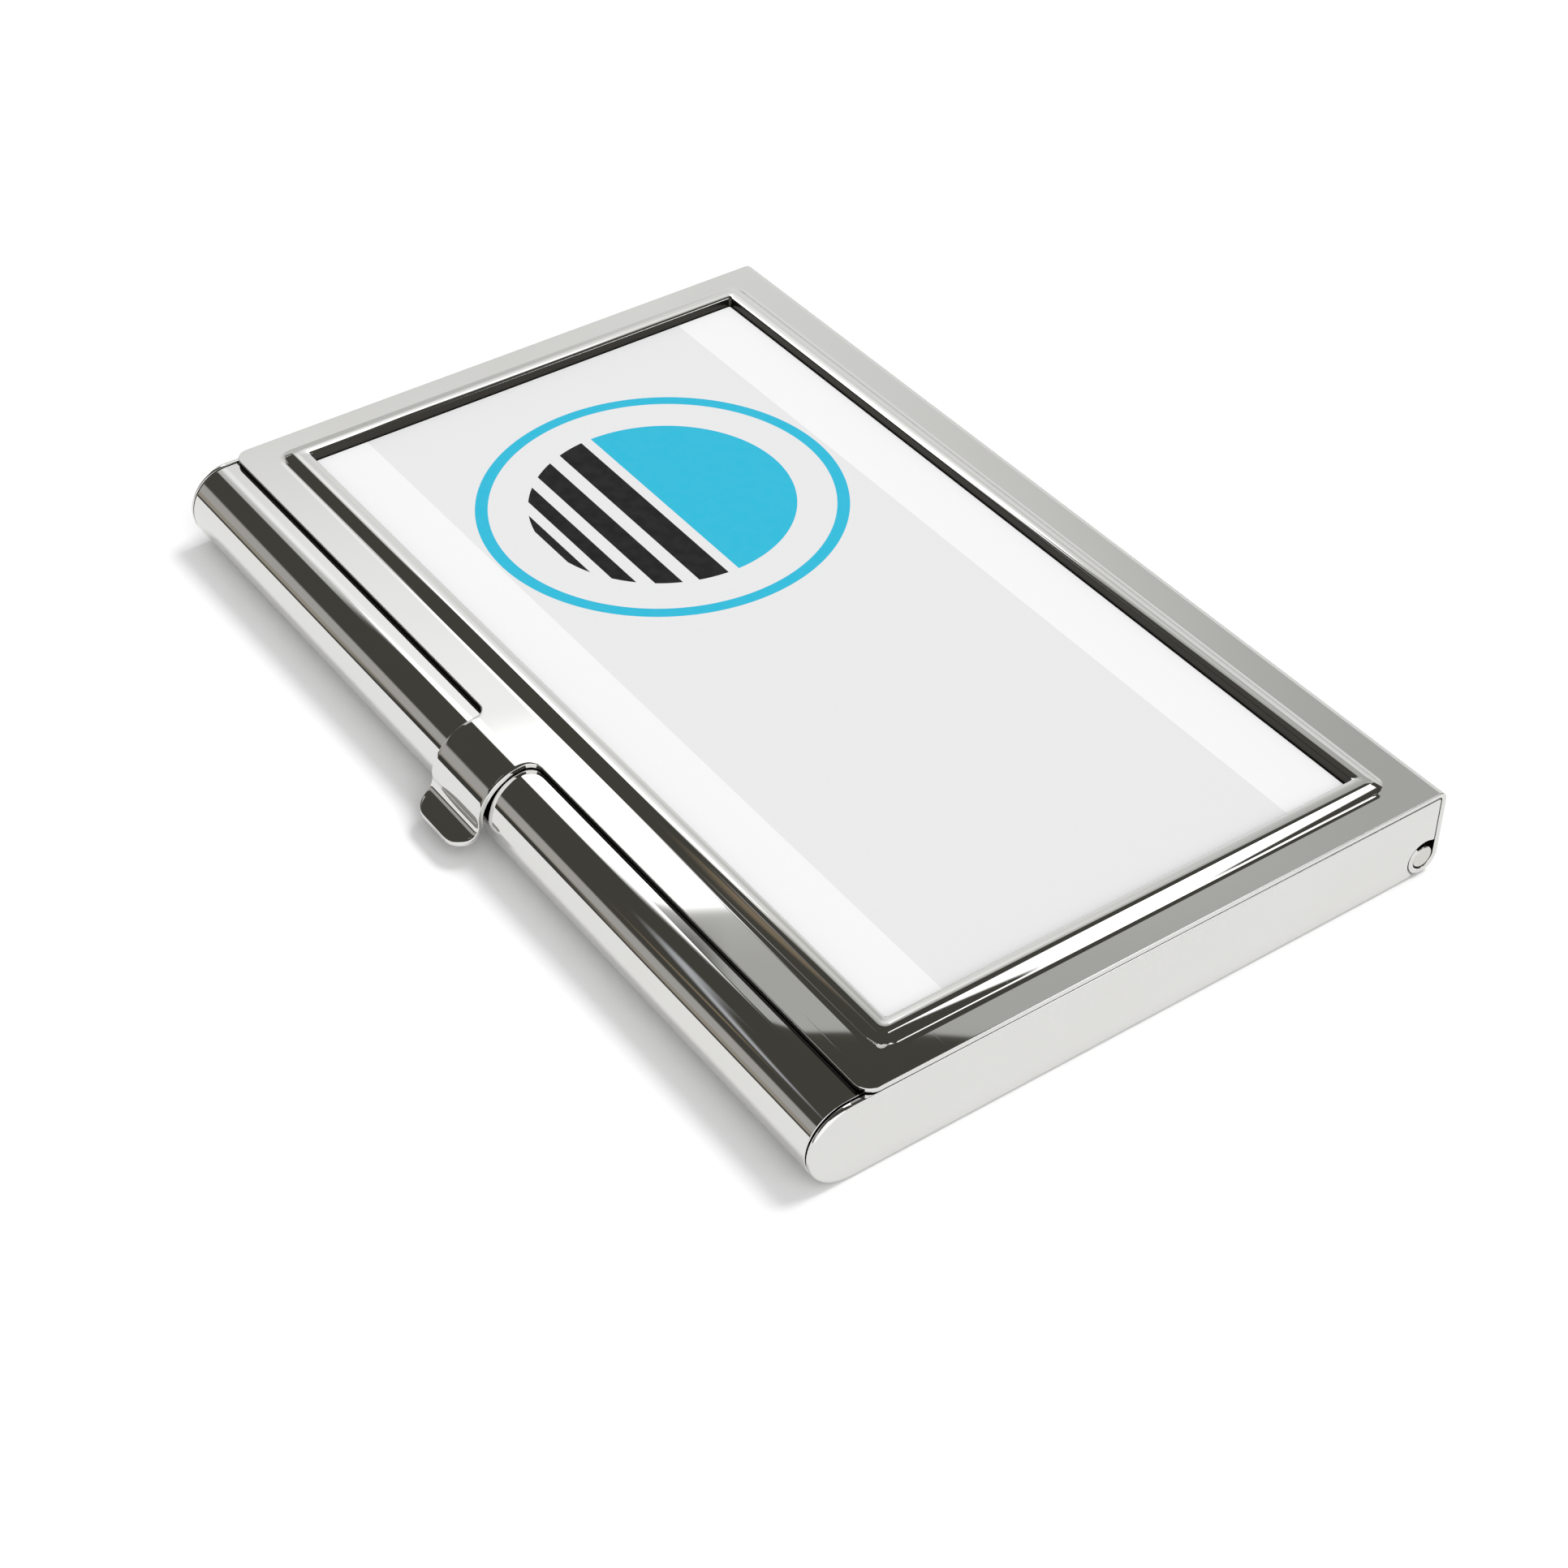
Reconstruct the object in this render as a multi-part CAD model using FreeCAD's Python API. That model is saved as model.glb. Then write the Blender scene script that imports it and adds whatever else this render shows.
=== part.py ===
"""Pocket business card case: a stamped tray, a hinged lid with a thumb tab, a pin and a bonded insert.

Millimetres. X runs along the case, Y from the thumb tab (-Y) to the hinge (+Y), Z up.
The origin is the centre of the closed case's footprint, on the surface that the case lies on.
"""
import FreeCAD
import Part
import math
import os

V = FreeCAD.Vector

# Overall
length = 94.0
half_length = length / 2
rear_y = 31.5               # outer face of the lid's rear wall
tab_front_y = -31.5         # front edge of the thumb tab's lip
sheet = 0.45                # thickness of the steel of tray and lid
lid_top_z = 7.95            # flat top of the lid
lid_seat_gap = 0.10         # between the lid's underside and the tray

# Tray
tray_top_z = lid_top_z - sheet - lid_seat_gap
nose_r = tray_top_z / 2     # rolled front bead, a half round as high as the tray
nose_y = -25.02             # centre of the bead
bead_flange = 1.6           # flat part of the bead that runs back under the lid
wall_rear_gap = 0.12        # between the end walls and the lid's rear wall
wall_corner_r = 0.25
floor_bend_r = 0.55         # outside radius where the end walls turn up from the floor
slit_width = 0.17           # between the bead's ends and the end walls
slit_low_z = 0.6            # the slit stops above the floor bend

# Lid
lid_front_y = -24.05
lid_corner_r = 1.4
lid_bend_r = 0.85           # outside radius of the bend into the rear wall

# Embossed frame round the insert: plan size of its crest line, and its section
crest_half_x = 43.15
crest_half_y = 23.15
crest_centre_y = 3.475
crest_height = 0.70         # above the flat top
crest_corner_r = 0.6
slope_out = 1.62            # crest to the foot of the outer slope
foot_corner_r = 1.6
wall_in = 1.05              # crest to the recess wall
wall_foot_z = 7.82          # the inner wall leans in above this height
recess_corner_r = 0.25
slope_bends = ((1.75, 12.5, 3), (0.30, 39.0, 2))                    # radius, tilt reached, steps
inner_bends = ((4.60, 7.0, 2), (1.90, 14.0, 2), (0.12, 75.0, 3))
hollow_top_z = 8.18
hollow_top_out = 0.25       # from the crest, on the slope's side
hollow_top_in = 0.485       # from the crest, on the recess side

# Insert
plate_x = 84.0
plate_y = 44.0
plate_thickness = 0.5
plate_corner_r = 0.2
adhesive_thickness = 0.15
adhesive_margin = 0.5
plate_below_top = 0.05      # printed face below the flat top of the lid
recess_top_z = lid_top_z - plate_below_top - plate_thickness - adhesive_thickness

# Hinge
hinge_y = 30.0
hinge_z = 1.75
curl_r = rear_y - hinge_y   # outside radius of every knuckle
pin_clearance = 0.08
pin_r = curl_r - sheet - pin_clearance
pin_end_recess = 0.05
pin_chamfer = 0.12
curl_angle = 235.0
knuckle_edges = (-47.0, -35.0, -21.0, -7.0, 7.0, 21.0, 35.0, 47.0)
knuckle_gap = 0.2
notch_r = 1.62              # clearance round a knuckle of the other part
notch_top_z = 3.2           # flat top of the end wall's hinge notch
notch_front_y = 28.9        # floor edge in front of the lid's knuckles
rear_notch_z = 3.4          # lid's rear wall stops here above the tray's knuckles
ramp_length = 4.0           # from the floor up to a tray knuckle
ramp_overlap = 0.1          # of the ramp with the floor, so that they fuse

# Thumb tab: bends of its outer face
tab_half_width = 3.6
tab_top_r = 4.65
tab_top_angle = 62.0
tab_front_r = 3.3
tab_front_angle = 30.0
tab_straight = 0.88         # flat part before the first bend
lip_bend_r = 1.25
lip_bend_angle = 80.0
lip_length = 2.5            # longer than needed, trimmed to the lip's outline
lip_corner_r = 2.0
tab_root_r = 1.1

BIG = 200.0


def box(x0, x1, y0, y1, z0, z1):
    return Part.makeBox(x1 - x0, y1 - y0, z1 - z0, V(x0, y0, z0))


def x_cylinder(r, y, z, x0, x1):
    return Part.makeCylinder(r, x1 - x0, V(x0, y, z), V(1, 0, 0))


def z_cylinder(r, x, y, z0, z1):
    return Part.makeCylinder(r, z1 - z0, V(x, y, z0), V(0, 0, 1))


def heading_vector(degrees):
    """Unit vector in the Y-Z plane, counted from +Y towards +Z."""
    a = math.radians(degrees)
    return V(0, math.cos(a), math.sin(a))


def side_edges(start, heading, moves, offset):
    """Edges of one face of a bent sheet, offset to the left of its centreline."""
    edges = []
    centre_point = start
    for move in moves:
        left = heading_vector(heading + 90)
        if move[0] == "line":
            next_point = centre_point + heading_vector(heading) * move[1]
            edges.append(Part.LineSegment(centre_point + left * offset, next_point + left * offset).toShape())
            centre_point = next_point
            continue
        radius, turn = move[1], move[2]
        sign = math.copysign(1, turn)
        centre = centre_point + left * (sign * radius)
        spokes = [heading_vector(heading - 90 * sign + part * turn) for part in (0, 0.5, 1)]
        reach = radius - sign * offset
        edges.append(Part.Arc(*[centre + spoke * reach for spoke in spokes]).toShape())
        centre_point = centre + spokes[2] * radius
        heading += turn
    return edges


def bent_strip(start_y, start_z, heading, moves, x0, x1):
    """Sheet of even thickness, bent along a walk in the Y-Z plane, from x0 to x1.

    A move is ("line", length) or ("bend", centreline radius, turn in degrees, left positive).
    """
    start = V(0, start_y, start_z)
    left = side_edges(start, heading, moves, sheet / 2)
    right = side_edges(start, heading, moves, -sheet / 2)
    first_cap = Part.LineSegment(right[0].valueAt(right[0].FirstParameter),
                                 left[0].valueAt(left[0].FirstParameter)).toShape()
    last_cap = Part.LineSegment(left[-1].valueAt(left[-1].LastParameter),
                                right[-1].valueAt(right[-1].LastParameter)).toShape()
    wire = Part.Wire(Part.__sortEdges__([first_cap] + left + [last_cap] + right))
    face = Part.Face(wire)
    face.translate(V(x0, 0, 0))
    return face.extrude(V(x1 - x0, 0, 0))


def rounded_rectangle(half_x, half_y, centre_y, r, z):
    """Closed wire of four straights and four arcs."""
    corners = ((half_x, half_y, 0), (-half_x, half_y, 90), (-half_x, -half_y, 180), (half_x, -half_y, 270))
    arcs = []
    for x, y, start in corners:
        centre = V(x - math.copysign(r, x), centre_y + y - math.copysign(r, y), z)
        points = []
        for turn in (0, 45, 90):
            a = math.radians(start + turn)
            points.append(centre + V(math.cos(a), math.sin(a), 0) * r)
        arcs.append(Part.Arc(*points).toShape())
    edges = []
    for i, arc in enumerate(arcs):
        following = arcs[(i + 1) % 4]
        edges.append(arc)
        edges.append(Part.LineSegment(arc.valueAt(arc.LastParameter),
                                      following.valueAt(following.FirstParameter)).toShape())
    return Part.Wire(edges)


def crest_ring(offset, z, r):
    """Rounded rectangle at a distance outside (+) or inside (-) the frame's crest line."""
    return rounded_rectangle(crest_half_x + offset, crest_half_y + offset, crest_centre_y, r, z)


def ring_prism(offset, z0, z1, r):
    return Part.Face(crest_ring(offset, z0, r)).extrude(V(0, 0, z1 - z0))


def knuckles(first, x_margin):
    """X ranges of every second knuckle, from number first, each shortened or grown at its inner ends."""
    spans = []
    for i in range(first, len(knuckle_edges) - 1, 2):
        x0, x1 = knuckle_edges[i], knuckle_edges[i + 1]
        x0 += 0 if i == 0 else x_margin
        x1 -= 0 if i == len(knuckle_edges) - 2 else x_margin
        spans.append((x0, x1))
    return spans


def tray_section():
    """Filled outline of the tray seen from its end, over its whole length."""
    floor_rear_y = rear_y - sheet - wall_rear_gap
    body = box(-half_length, half_length, nose_y, floor_rear_y, 0, tray_top_z)
    return body.fuse(x_cylinder(nose_r, nose_y, nose_r, -half_length, half_length))


def tray_cavity():
    """Space inside the bead, over the floor and between the end walls, open at the top."""
    x = half_length - sheet
    inner_r = nose_r - sheet
    space = x_cylinder(inner_r, nose_y, nose_r, -x, x)
    space = space.fuse(box(-x, x, nose_y, BIG, sheet, tray_top_z - sheet))
    return space.fuse(box(-x, x, nose_y + bead_flange, BIG, sheet, BIG))


def floor_bend_cutter(side):
    """What the bend between floor and end wall takes off the square corner."""
    x_centre = half_length - floor_bend_r
    corner = box(x_centre, BIG, -BIG, BIG, -BIG, floor_bend_r)
    round_bar = Part.makeCylinder(floor_bend_r, 2 * BIG, V(x_centre, -BIG, floor_bend_r), V(0, 1, 0))
    cutter = corner.cut(round_bar)
    return cutter if side > 0 else cutter.mirror(V(0, 0, 0), V(1, 0, 0))


def wall_corner_cutter():
    """Rounds the upper rear corner of both end walls."""
    y = rear_y - sheet - wall_rear_gap - wall_corner_r
    z = tray_top_z - wall_corner_r
    corner = box(-BIG, BIG, y, BIG, z, BIG)
    return corner.cut(x_cylinder(wall_corner_r, y, z, -BIG, BIG))


def tray_shell():
    tray = tray_section().cut(tray_cavity())
    for side in (-1, 1):
        tray = tray.cut(floor_bend_cutter(side))
        slit_outer = half_length - sheet
        slit_x = sorted((side * slit_outer, side * (slit_outer - slit_width)))
        tray = tray.cut(box(*slit_x, -BIG, nose_y + bead_flange + sheet, slit_low_z, BIG))
    tray = tray.cut(wall_corner_cutter())

    # Clear the hinge line, then add the tray's own knuckles.
    tray = tray.cut(x_cylinder(notch_r, hinge_y, hinge_z, -BIG, BIG))
    tray = tray.cut(box(-BIG, BIG, notch_front_y, BIG, -BIG, notch_top_z))
    start_y = hinge_y - ramp_length
    for x0, x1 in knuckles(1, knuckle_gap / 2):
        tray = tray.cut(box(x0, x1, start_y + ramp_overlap, BIG, -BIG, notch_top_z))
    rise = hinge_z - sheet / 2
    mid_r = curl_r - sheet / 2
    reach = math.hypot(ramp_length, rise)
    slope = math.degrees(math.atan2(rise, ramp_length) - math.asin(mid_r / reach))
    ramp = math.sqrt(reach ** 2 - mid_r ** 2)
    moves = [("line", ramp), ("bend", mid_r, curl_angle)]
    for x0, x1 in knuckles(1, knuckle_gap / 2):
        tray = tray.fuse(bent_strip(start_y, sheet / 2, slope, moves, x0, x1))
    return tray.removeSplitter()


def lid_blank():
    """Flat top, rear bend, rear wall and full-length curl, before the frame is embossed."""
    mid_z = lid_top_z - sheet / 2
    bend_mid_r = lid_bend_r - sheet / 2
    wall = lid_top_z - lid_bend_r - hinge_z
    moves = [
        ("line", rear_y - lid_bend_r - lid_front_y),
        ("bend", bend_mid_r, -90),
        ("line", wall),
        ("bend", curl_r - sheet / 2, -curl_angle),
    ]
    return bent_strip(lid_front_y, mid_z, 0, moves, -half_length, half_length)


def front_corner_cutter(half_x, front_y, r, side):
    """Vertical cutter that rounds one front corner of a plan outline."""
    x = side * (half_x - r)
    y = front_y + r
    xs = sorted((x, side * BIG))
    return box(*xs, -BIG, y, -BIG, BIG).cut(z_cylinder(r, x, y, -BIG, BIG))


def turned(bends):
    """Points (run, drop, tilt) down from a level surface round bends that follow each other."""
    points = [(0.0, 0.0, 0.0)]
    run, drop, start = 0.0, 0.0, 0.0
    for r, end, steps in bends:
        for i in range(1, steps + 1):
            tilt = start + (end - start) * i / steps
            across = math.sin(math.radians(tilt)) - math.sin(math.radians(start))
            down = math.cos(math.radians(start)) - math.cos(math.radians(tilt))
            points.append((run + r * across, drop + r * down, tilt))
        run, drop, start = points[-1][0], points[-1][1], end
    return points


def ring_loft(points, r_low, r_high):
    """Solid through crest rings at (offset, z), with corner radii from r_low to r_high."""
    r_step = (r_high - r_low) / (len(points) - 1)
    rings = [crest_ring(offset, z, r_low + r_step * i) for i, (offset, z) in enumerate(points)]
    return Part.makeLoft(rings, True, True)


def hill():
    """Solid under the frame's outer slope, up to its crest line."""
    crest_z = lid_top_z + crest_height
    foot = [(slope_out - run, lid_top_z + rise) for run, rise, tilt in turned(slope_bends)]
    top = [(run, crest_z - drop) for run, drop, tilt in turned(slope_bends)]
    return ring_loft(foot + top[::-1], foot_corner_r, crest_corner_r)


def funnel():
    """Solid of the recess from its leaning wall over the rounded inner side up to the crest line."""
    crest_z = lid_top_z + crest_height
    top = [(-run, crest_z - drop) for run, drop, tilt in turned(inner_bends)]
    return ring_loft([(-wall_in, wall_foot_z)] + top[::-1], recess_corner_r, crest_corner_r)


def slope_hollow():
    """Space under the outer slope, one sheet thickness below it."""
    foot = []
    for run, rise, tilt in turned(slope_bends):
        back = sheet * math.sin(math.radians(tilt))
        below = sheet * math.cos(math.radians(tilt))
        foot.append((slope_out - run - back, lid_top_z + rise - below))
    return ring_loft(foot + [(hollow_top_out, hollow_top_z)], foot_corner_r, crest_corner_r)


def emboss(lid):
    """Turns the flat top inside the frame's foot into a raised frame with a recessed panel."""
    panel_low_z = recess_top_z - sheet
    under_z = lid_top_z - sheet
    raised = ring_prism(slope_out, under_z, lid_top_z, foot_corner_r).fuse(hill())
    raised = raised.fuse(ring_prism(sheet - wall_in, panel_low_z, lid_top_z, recess_corner_r))
    pocket = ring_prism(-wall_in, recess_top_z, wall_foot_z, recess_corner_r).fuse(funnel())

    # The hollow side of the frame, round a core that backs the recess wall.
    backing = [(sheet - wall_in, wall_foot_z - sheet / 4), (-hollow_top_in, hollow_top_z)]
    core = ring_prism(sheet - wall_in, panel_low_z - 2, wall_foot_z - sheet / 4, recess_corner_r)
    core = core.fuse(ring_loft(backing, recess_corner_r, recess_corner_r))
    hollow = ring_prism(slope_out, panel_low_z - 1, under_z, foot_corner_r).fuse(slope_hollow())
    hollow = hollow.cut(core)

    hole = ring_prism(slope_out, panel_low_z - 1, BIG, foot_corner_r)
    return lid.cut(hole).fuse(raised.cut(pocket).cut(hollow))


def thumb_tab():
    """Tongue from the lid's front edge, wrapped round the bead and turned out into a lip."""
    half = sheet / 2
    moves = [
        ("line", tab_straight + sheet),
        ("bend", tab_top_r - half, tab_top_angle),
        ("bend", tab_front_r - half, tab_front_angle),
        ("bend", lip_bend_r + half, -lip_bend_angle),
        ("line", lip_length),
    ]
    root_half_width = tab_half_width + tab_root_r
    strip = bent_strip(lid_front_y + sheet, lid_top_z - half, 180, moves, -root_half_width, root_half_width)
    outline = box(-tab_half_width, tab_half_width, tab_front_y, BIG, -BIG, BIG)
    for side in (-1, 1):
        outline = outline.cut(front_corner_cutter(tab_half_width, tab_front_y, lip_corner_r, side))
    root = box(-root_half_width, root_half_width, lid_front_y - tab_root_r, BIG, -BIG, BIG)
    for side in (-1, 1):
        root = root.cut(z_cylinder(tab_root_r, side * root_half_width, lid_front_y - tab_root_r, -BIG, BIG))
    return strip.common(outline.fuse(root))


def lid_shell():
    lid = lid_blank()
    for side in (-1, 1):
        lid = lid.cut(front_corner_cutter(half_length, lid_front_y, lid_corner_r, side))
    for x0, x1 in knuckles(1, -knuckle_gap / 2):
        lid = lid.cut(box(x0, x1, hinge_y - BIG / 2, BIG, -BIG, rear_notch_z))
    return emboss(lid).fuse(thumb_tab()).removeSplitter()


def hinge_pin():
    reach = half_length - pin_end_recess
    pin = x_cylinder(pin_r, hinge_y, hinge_z, -reach, reach)
    rims = [edge for edge in pin.Edges if edge.isClosed() and abs(abs(edge.CenterOfMass.x) - reach) < 1e-6]
    return pin.makeChamfer(pin_chamfer, rims)


def insert_layer(margin, z0, thickness):
    half_x = plate_x / 2 - margin
    half_y = plate_y / 2 - margin
    wire = rounded_rectangle(half_x, half_y, crest_centre_y, plate_corner_r, z0)
    return Part.Face(wire).extrude(V(0, 0, thickness))


parts = {
    "tray_shell": tray_shell(),
    "lid_shell": lid_shell(),
    "hinge_pin": hinge_pin(),
    "insert_adhesive": insert_layer(adhesive_margin, recess_top_z, adhesive_thickness),
    "insert_plate": insert_layer(0, recess_top_z + adhesive_thickness, plate_thickness),
}

os.makedirs("parts", exist_ok=True)
for name, shape in parts.items():
    shape.exportStep("parts/" + name + ".step")
    bounds = shape.BoundBox
    print(name, "solids", len(shape.Solids), "valid", shape.isValid(), "volume", round(shape.Volume, 2),
          "y", round(bounds.YMin, 3), round(bounds.YMax, 3), "z", round(bounds.ZMin, 3), round(bounds.ZMax, 3))
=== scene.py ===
import math

import bmesh
import bpy
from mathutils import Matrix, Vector


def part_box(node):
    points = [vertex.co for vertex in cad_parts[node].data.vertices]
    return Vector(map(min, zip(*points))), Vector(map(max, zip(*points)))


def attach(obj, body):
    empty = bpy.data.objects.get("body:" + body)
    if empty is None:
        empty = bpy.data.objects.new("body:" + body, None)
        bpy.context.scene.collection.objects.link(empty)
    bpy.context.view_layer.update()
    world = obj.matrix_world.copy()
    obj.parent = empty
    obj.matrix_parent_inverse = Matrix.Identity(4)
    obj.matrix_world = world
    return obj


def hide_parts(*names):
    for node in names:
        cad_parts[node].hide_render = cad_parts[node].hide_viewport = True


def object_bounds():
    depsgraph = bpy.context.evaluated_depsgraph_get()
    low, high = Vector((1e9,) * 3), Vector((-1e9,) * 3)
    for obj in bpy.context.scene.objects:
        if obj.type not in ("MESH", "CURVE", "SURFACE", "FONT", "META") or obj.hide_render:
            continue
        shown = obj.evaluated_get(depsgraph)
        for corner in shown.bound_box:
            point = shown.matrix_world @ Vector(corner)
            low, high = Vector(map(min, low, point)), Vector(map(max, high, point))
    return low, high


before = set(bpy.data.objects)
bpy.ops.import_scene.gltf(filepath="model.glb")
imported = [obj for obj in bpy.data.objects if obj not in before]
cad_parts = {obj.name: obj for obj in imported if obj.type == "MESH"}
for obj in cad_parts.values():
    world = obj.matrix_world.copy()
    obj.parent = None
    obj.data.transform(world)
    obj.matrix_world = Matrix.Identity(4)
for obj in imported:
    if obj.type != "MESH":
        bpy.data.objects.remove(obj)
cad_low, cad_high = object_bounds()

MM = 0.001

# Overall
half_length = cad_high.x / MM
rear_y = cad_high.y / MM
tab_front_y = cad_low.y / MM
sheet = 0.45
lid_top_z = 7.95
edge_r = 0.07               # rounding of every cut edge
edge_segments = 3

# Tray
tray_top_z = 7.40
nose_r = tray_top_z / 2
nose_y = -25.02
bead_flange = 1.6
bead_step = 2.5             # degrees between the bead's rows
slit_width = 0.17
slit_low_angle = 237.5      # of the bead, where the slits beside it end
wall_rear_y = 30.93
wall_corner_r = 0.25
wall_rim_r = 0.06
nose_rim_r = 0.34           # round the bead's end, where the rim is free of the lid
floor_bend_r = 0.40
rim_low_end = 45            # degrees round the bead from the floor: floor_bend_r to nose_rim_r until here
rim_high_start = 150        # and nose_rim_r to wall_rim_r from here
rim_high_length = 30
flange_row = 0.5            # length of the flange's first row of faces
wall_corner_step = 15       # degrees
notch_step = 7
nearly_straight = 0.2       # sine of the turn at a point up to which the wall's outline counts as smooth

# Hinge
hinge_y = 30.0
hinge_z = 1.75
curl_r = 1.5
curl_angle = 235.0
curl_step = 5.0
pin_r = 0.97
pin_rim_r = 0.14
pin_end_recess = 0.05
knuckle_edges = (-47.0, -35.0, -21.0, -7.0, 7.0, 21.0, 35.0, 47.0)
knuckle_gap = 0.2
notch_r = 1.62
notch_top_z = 3.2
notch_front_y = 28.9
rear_notch_z = 3.4
ramp_length = 4.0

# Lid
lid_front_y = -24.05
lid_corner_r = 1.4
lid_bend_r = 0.85
lid_corner_step = 9         # degrees
lid_bend_step = 7.5

# Raised frame round the insert
crest_half_x = 43.15
crest_half_y = 23.15
crest_centre_y = 3.475
crest_z = 8.65
slope_out = 1.62
foot_corner_r = 1.6
crest_corner_r = 0.6
wall_in = 1.05
wall_foot_z = 7.82
recess_corner_r = 0.25
recess_top_z = 7.25
foot_bends = ((1.75, 12.5, 7), (0.30, 40.5, 8))                     # radius, tilt reached, steps
crest_bends = ((1.75, 12.5, 7), (0.30, 37.5, 6), (15.1, 40.5, 6))
inner_bends = ((4.60, 7.0, 4), (1.90, 14.0, 4), (0.12, 75.0, 7))
hollow_top_z = 8.18
hollow_top_out = 0.25
hollow_top_in = 0.485
fillet_r = 0.10             # between the recess wall and its floor, and on the hidden side
hidden_fillet_r = 0.35
fillet_steps = 4
corner_steps = 10

# Insert
plate_low, plate_high = (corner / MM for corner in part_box("insert_plate"))
plate_corner_r = 0.2
plate_rim_r = 0.08

# Thumb tab
tab_half_width = 3.6
tab_root_r = 1.1
tab_straight_y = -24.93     # the flat part ends here
tab_top_r = 4.65
tab_top_angle = 62.0
tab_front_r = 3.3
tab_front_angle = 30.0
lip_bend_r = 1.25
lip_bend_angle = 80.0
lip_corner_r = 2.0
tab_step = 2.0
tab_border = 0.35           # a narrow row of faces along each side of the tab


# --- camera -------------------------------------------------------------------------------------

def make_camera():
    data = bpy.data.cameras.new("camera")
    data.lens = 70.0
    data.sensor_width = 36.0
    data.clip_start = 0.01
    camera = bpy.data.objects.new("camera", data)
    bpy.context.scene.collection.objects.link(camera)
    azimuth, elevation = math.radians(54.9), math.radians(40.927)
    forward = Vector((-math.sin(azimuth) * math.cos(elevation),
                      math.cos(azimuth) * math.cos(elevation),
                      -math.sin(elevation)))
    camera.location = Vector((162.14, -111.78, 161.69)) * MM
    camera.rotation_euler = forward.to_track_quat("-Z", "Y").to_euler()
    bpy.context.scene.camera = camera


# --- mesh tools ---------------------------------------------------------------------------------

def arc(centre, r, start, end, step):
    """Points (y, z) on an arc, degrees counted from +Y towards +Z."""
    count = max(1, round(abs(end - start) / step))
    angles = (math.radians(start + (end - start) * i / count) for i in range(count + 1))
    return [(centre[0] + r * math.cos(a), centre[1] + r * math.sin(a)) for a in angles]


def make_object(name, faces, bevel=edge_r, sharp_from=50.0):
    """Object of faces given as lists of points. Shared points are welded and the sharp edges rounded."""
    mesh = bmesh.new()
    known = {}

    def vertex(point):
        key = tuple(round(value, 4) for value in point)
        if key not in known:
            known[key] = mesh.verts.new(Vector(key) * MM)
        return known[key]

    for face in faces:
        corners = []
        for point in face:
            corner = vertex(point)
            if not corners or corners[-1] is not corner:
                corners.append(corner)
        if corners[0] is corners[-1]:
            corners.pop()
        if len(corners) > 2 and len(set(corners)) == len(corners):
            mesh.faces.new(corners)
    bmesh.ops.recalc_face_normals(mesh, faces=mesh.faces)
    if bevel:
        limit = math.radians(sharp_from)
        sharp = [edge for edge in mesh.edges if edge.is_manifold and edge.calc_face_angle() > limit]
        bmesh.ops.bevel(mesh, geom=sharp, offset=bevel * MM, segments=edge_segments, profile=0.5,
                        affect="EDGES", clamp_overlap=False)
    data = bpy.data.meshes.new(name)
    mesh.to_mesh(data)
    mesh.free()
    data.shade_smooth()
    data.set_sharp_from_angle(angle=math.radians(sharp_from))
    piece = bpy.data.objects.new(name, data)
    bpy.context.scene.collection.objects.link(piece)
    weighted = piece.modifiers.new("flat_faces_stay_flat", "WEIGHTED_NORMAL")
    weighted.keep_sharp = True
    return piece


def sheet_faces(cells):
    """Closed faces of a bent sheet.

    A cell is a list of (outer point, inner point) pairs round one patch of it. The edges that only one
    patch has get a face across the thickness.
    """
    faces = []
    rims = {}
    for cell in cells:
        faces.append([outer for outer, inner in cell])
        faces.append([inner for outer, inner in reversed(cell)])
        for first, second in zip(cell, cell[1:] + cell[:1]):
            key = tuple(sorted(tuple(round(value, 3) for value in pair[0]) for pair in (first, second)))
            if key in rims:
                rims[key] = None
            else:
                rims[key] = [first[0], first[1], second[1], second[0]]
    return faces + [rim for rim in rims.values() if rim]


def strips(rows, spans):
    """Cells between neighbouring rows (outer (y, z), inner (y, z)) over each span (x0, x1)."""
    cells = []
    for row, following in zip(rows, rows[1:]):
        for x0, x1 in spans:
            cells.append([tuple((x, *point) for point in pair)
                          for x, pair in ((x0, row), (x1, row), (x1, following), (x0, following))])
    return cells


def loft(rings):
    """Quads between closed rings of equal count, with a face over the first and the last."""
    faces = [list(reversed(rings[0])), rings[-1]]
    for low, high in zip(rings, rings[1:]):
        for i in range(len(low)):
            following = (i + 1) % len(low)
            faces.append([low[i], low[following], high[following], high[i]])
    return faces


def rounded_rectangle(half_x, half_y, centre_x, centre_y, r, z):
    """Ring of points, anticlockwise from the middle of the right front corner's arc."""
    points = []
    for sign_x, sign_y, start in ((1, -1, -45), (1, 1, 0), (-1, 1, 90), (-1, -1, 180), (1, -1, 270)):
        count = corner_steps // 2 if start in (-45, 270) else corner_steps
        stop = count if start == 270 else count + 1
        for i in range(stop):
            a = math.radians(start + i * 90 / corner_steps)
            points.append((centre_x + sign_x * (half_x - r) + r * math.cos(a),
                           centre_y + sign_y * (half_y - r) + r * math.sin(a), z))
    return points


def knuckle_spans(first, margin):
    """X ranges of every second knuckle, each shortened or grown at its inner ends."""
    spans = []
    last = len(knuckle_edges) - 2
    for i in range(first, last + 1, 2):
        x0 = knuckle_edges[i] + (margin if i else 0)
        x1 = knuckle_edges[i + 1] - (margin if i < last else 0)
        spans.append((x0, x1))
    return spans


def paired_arc(centre, outer_r, inner_r, start, end, step):
    return list(zip(arc(centre, outer_r, start, end, step), arc(centre, inner_r, start, end, step)))


# --- tray ---------------------------------------------------------------------------------------

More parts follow.
